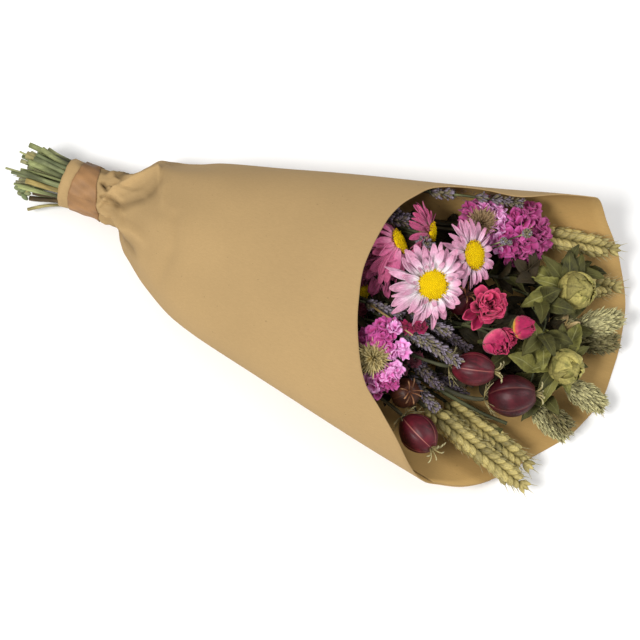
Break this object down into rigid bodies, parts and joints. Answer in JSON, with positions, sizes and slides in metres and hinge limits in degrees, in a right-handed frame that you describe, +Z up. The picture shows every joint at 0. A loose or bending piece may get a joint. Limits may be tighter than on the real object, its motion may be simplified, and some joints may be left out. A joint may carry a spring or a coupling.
{
  "type": "mixed flower bouquet",
  "caption": "Dried flower bouquet of daisies, rosebuds, seed heads and wheat, lying in a wrap of brown kraft paper that is gathered and taped round the stems.",
  "frame": {"origin": "centre of the bounding box in plan, on the surface that the bouquet lies on", "axes": "+X from the cut stem ends to the mouth of the wrap, +Z up, with the flowers' open side facing up"},
  "size_m": [0.439, 0.2198, 0.105],
  "materials": {
    "kraft_paper": "matte brown kraft paper with fine fibres and soft creases",
    "paper_tape": "pinkish brown paper tape with a slight gloss",
    "twine": "matte twisted twine",
    "daisy_petals": "papery petals, white at the root and pink at the tip",
    "daisy_disc": "matte yellow florets",
    "green_stem": "dry grey green stem",
    "statice_petals": "papery ruffled magenta petals",
    "straw_stem": "dry straw coloured stem and bracts",
    "seed_pod": "maroon seed pod with paler seams and a soft gloss",
    "safflower_bud": "matte yellow green bud scales",
    "leaf": "matte dried green leaf",
    "rose_petals": "dry pink petals with cream bases",
    "lavender": "matte grey violet buds",
    "wheat": "dry pale green grains",
    "canary_grass": "matte grey green glumes"
  },
  "bodies": {
    "root": {"paper_wrap": "kraft_paper", "neck_tape": "paper_tape", "binding_twine": "twine", "daisy_1_petals": "daisy_petals", "daisy_1_disc": "daisy_disc", "daisy_1_stem": "green_stem", "daisy_2_petals": "daisy_petals", "daisy_2_disc": "daisy_disc", "daisy_2_stem": "green_stem", "daisy_3_petals": "daisy_petals", "daisy_3_disc": "daisy_disc", "daisy_3_stem": "green_stem", "daisy_4_petals": "daisy_petals", "daisy_4_disc": "daisy_disc", "daisy_4_stem": "green_stem", "daisy_5_petals": "daisy_petals", "daisy_5_disc": "daisy_disc", "daisy_5_stem": "green_stem", "statice_1_florets": "statice_petals", "statice_1_stem": "straw_stem", "statice_2_florets": "statice_petals", "statice_2_stem": "straw_stem", "statice_3_florets": "statice_petals", "statice_3_stem": "straw_stem", "nigella_1_pod": "seed_pod", "nigella_1_stem": "green_stem", "nigella_2_pod": "seed_pod", "nigella_2_stem": "green_stem", "nigella_3_pod": "seed_pod", "nigella_3_stem": "green_stem", "nigella_4_pod": "seed_pod", "nigella_4_stem": "green_stem", "nigella_5_pod": "seed_pod", "nigella_5_stem": "green_stem", "safflower_1_head": "safflower_bud", "safflower_1_stem": "leaf", "safflower_2_head": "safflower_bud", "safflower_2_stem": "leaf", "foliage_1": "leaf", "foliage_2": "leaf", "foliage_3": "leaf", "rose_1_bloom": "rose_petals", "rose_2_bloom": "rose_petals", "rose_3_bloom": "rose_petals", "rose_4_bloom": "rose_petals", "rose_stem": "leaf", "lavender_1": "lavender", "lavender_2": "lavender", "lavender_3": "lavender", "lavender_4": "lavender", "lavender_5": "lavender", "lavender_6": "lavender", "wheat_1": "wheat", "wheat_2": "wheat", "wheat_3": "wheat", "wheat_4": "wheat", "phalaris_1": "canary_grass", "phalaris_2": "canary_grass", "phalaris_3": "canary_grass", "phalaris_4": "canary_grass"}
  },
  "joints": []
}
